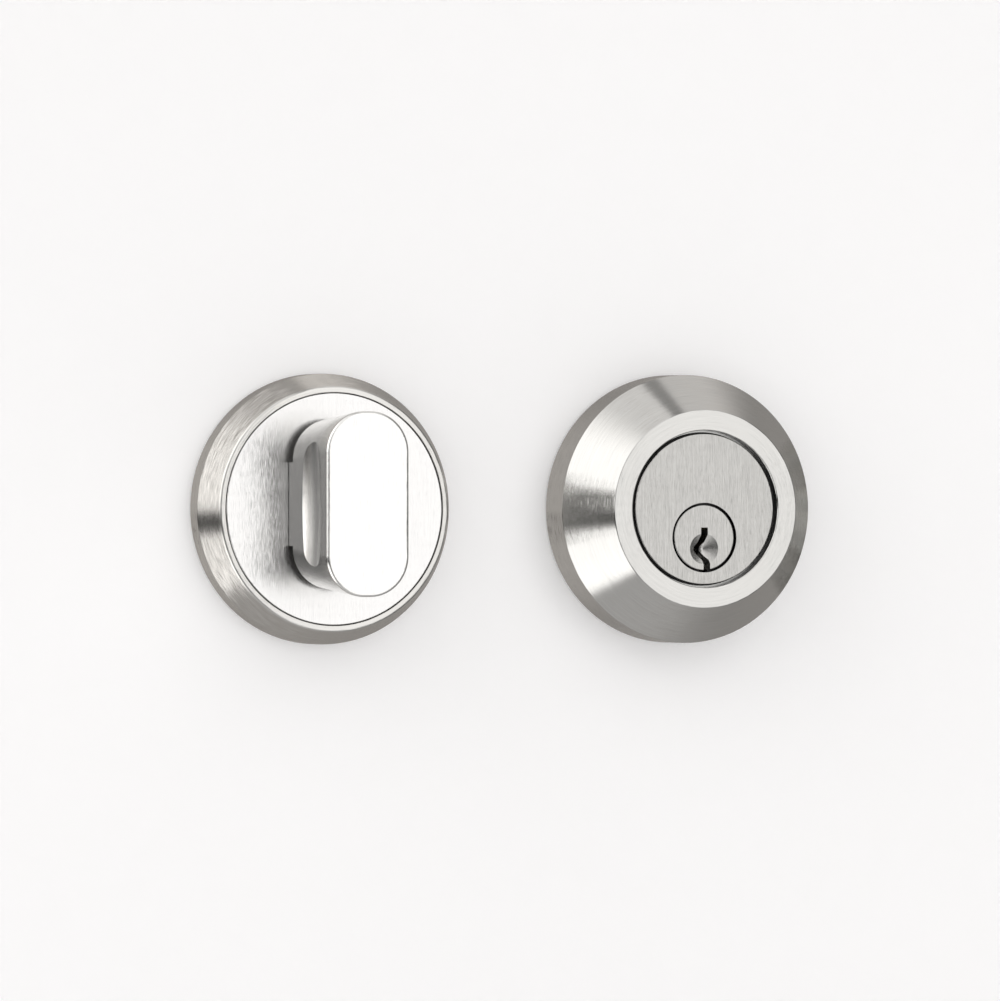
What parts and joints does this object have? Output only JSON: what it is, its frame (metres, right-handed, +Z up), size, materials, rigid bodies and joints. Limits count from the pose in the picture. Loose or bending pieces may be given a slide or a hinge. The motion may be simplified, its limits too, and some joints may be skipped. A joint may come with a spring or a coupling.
{
  "type": "deadbolt door lock",
  "caption": "Round stainless deadbolt: keyed exterior half with tapered collar, interior half with thumbturn, and the tubular bolt that both drive.",
  "frame": {"origin": "exterior collar's axis on the door's outer face", "axes": "+X along the door towards its edge, +Y into the door, +Z up; both halves face -Y"},
  "size_m": [0.1882, 0.0826, 0.0666],
  "materials": {
    "turned_stainless": "turned satin stainless steel, marks running round the axis",
    "brushed_stainless": "satin stainless steel brushed up and down",
    "plain_steel": "plain bright steel",
    "zinc_plated_steel": "zinc-plated pressed steel",
    "cast_zinc": "plain grey die-cast zinc",
    "hardened_steel": "dark hardened steel",
    "brass": "plain turned brass",
    "bushing_plastic": "pale acetal plastic"
  },
  "bodies": {
    "lock_case": {"cylinder_base": "cast_zinc", "base_screws": "plain_steel", "cylinder_housing": "brushed_stainless", "anti_drill_pins": "hardened_steel", "driver_pins": "brass", "pin_springs": "hardened_steel", "chamber_cover": "plain_steel", "collar_washer": "plain_steel", "case_tube": "zinc_plated_steel", "case_frame": "zinc_plated_steel", "faceplate": "brushed_stainless", "backplate": "zinc_plated_steel", "faceplate_screws": "plain_steel", "interior_rose": "turned_stainless", "rose_face_plate": "brushed_stainless", "interior_mounting_plate": "plain_steel", "through_bolts": "plain_steel", "rose_set_screw": "plain_steel", "turn_bushing": "bushing_plastic", "friction_washer": "plain_steel"},
    "collar": {"exterior_collar": "turned_stainless"},
    "plug_set": {"key_plug": "brushed_stainless", "key_pins": "brass", "plug_retainer": "plain_steel", "retainer_screws": "plain_steel", "tailpiece": "plain_steel"},
    "hub_set": {"bolt_hub": "cast_zinc"},
    "bolt_set": {"bolt": "brushed_stainless", "bolt_tail": "zinc_plated_steel", "tail_pin": "plain_steel", "tail_rivets": "plain_steel"},
    "saw_pin": {"anti_saw_pin": "hardened_steel"},
    "thumbturn_set": {"thumbturn_knob": "brushed_stainless", "turn_spindle": "cast_zinc", "retaining_ring": "plain_steel", "knob_set_screw": "plain_steel"}
  },
  "joints": [
    {"name": "thumbturn_turn", "type": "hinge", "parent": "lock_case", "child": "thumbturn_set", "pos_m": [-0.0946, -0.01, 0.0012], "axis": [0, -1, 0], "range_deg": [0, 90]},
    {"name": "key_turn", "type": "hinge", "parent": "lock_case", "child": "plug_set", "pos_m": [0, -0.01, -0.0071], "axis": [0, 1, 0], "range_deg": [0, 90]},
    {"name": "hub_turn", "type": "hinge", "parent": "lock_case", "child": "hub_set", "pos_m": [0, 0.02223, -0.0071], "axis": [0, 1, 0], "range_deg": [0, 90]},
    {"name": "bolt_throw", "type": "slide", "parent": "lock_case", "child": "bolt_set", "axis": [1, 0, 0], "range_m": [0, 0.0254]},
    {"name": "collar_spin", "type": "hinge", "parent": "lock_case", "child": "collar", "pos_m": [0, -0.01, 0], "axis": [0, 1, 0], "continuous": true},
    {"name": "saw_pin_spin", "type": "hinge", "parent": "bolt_set", "child": "saw_pin", "pos_m": [0.037, 0.02223, -0.0054], "axis": [1, 0, 0], "continuous": true}
  ],
  "couplings": [
    {"joint": "thumbturn_turn", "follows": "bolt_throw", "rad_per_m": 61.842},
    {"joint": "key_turn", "follows": "bolt_throw", "rad_per_m": 61.842},
    {"joint": "hub_turn", "follows": "bolt_throw", "rad_per_m": 61.842}
  ]
}
